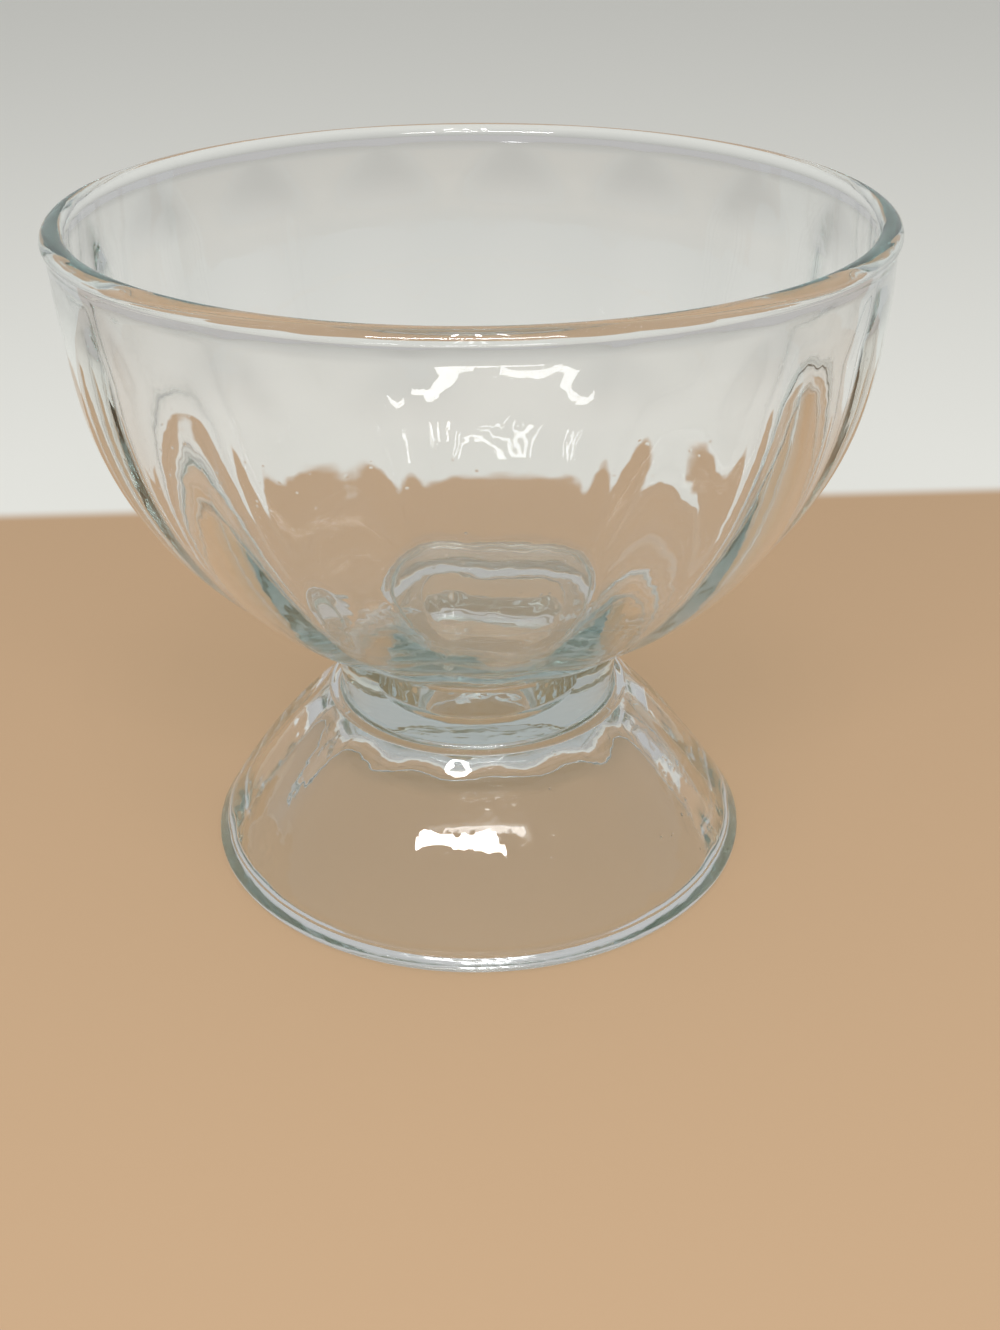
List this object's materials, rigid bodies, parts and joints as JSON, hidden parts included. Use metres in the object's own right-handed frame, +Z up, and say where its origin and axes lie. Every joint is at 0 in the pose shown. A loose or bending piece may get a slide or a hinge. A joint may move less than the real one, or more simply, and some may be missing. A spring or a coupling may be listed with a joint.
{
  "type": "pedestal bowl",
  "caption": "Clear pressed-glass serving bowl with soft upright panels and a bead lip, seated by a round spigot in the collar of a hollow bell-shaped glass pedestal.",
  "frame": {"origin": "on the common axis of bowl and pedestal, on the surface that the pedestal's base ring stands on", "axes": "+Z up along the axis, -Y towards the viewer of the picture, +X to the viewer's right"},
  "size_m": [0.2198, 0.2198, 0.1894],
  "materials": {
    "clear_glass": "fire-polished pressed glass, clear in thin walls and faintly blue-green where it is thick"
  },
  "bodies": {
    "pedestal": {"pedestal": "clear_glass"},
    "bowl": {"bowl": "clear_glass"}
  },
  "joints": [
    {"name": "bowl_lift", "type": "slide", "parent": "pedestal", "child": "bowl", "axis": [0, 0, 1], "range_m": [0, 0.04]}
  ]
}
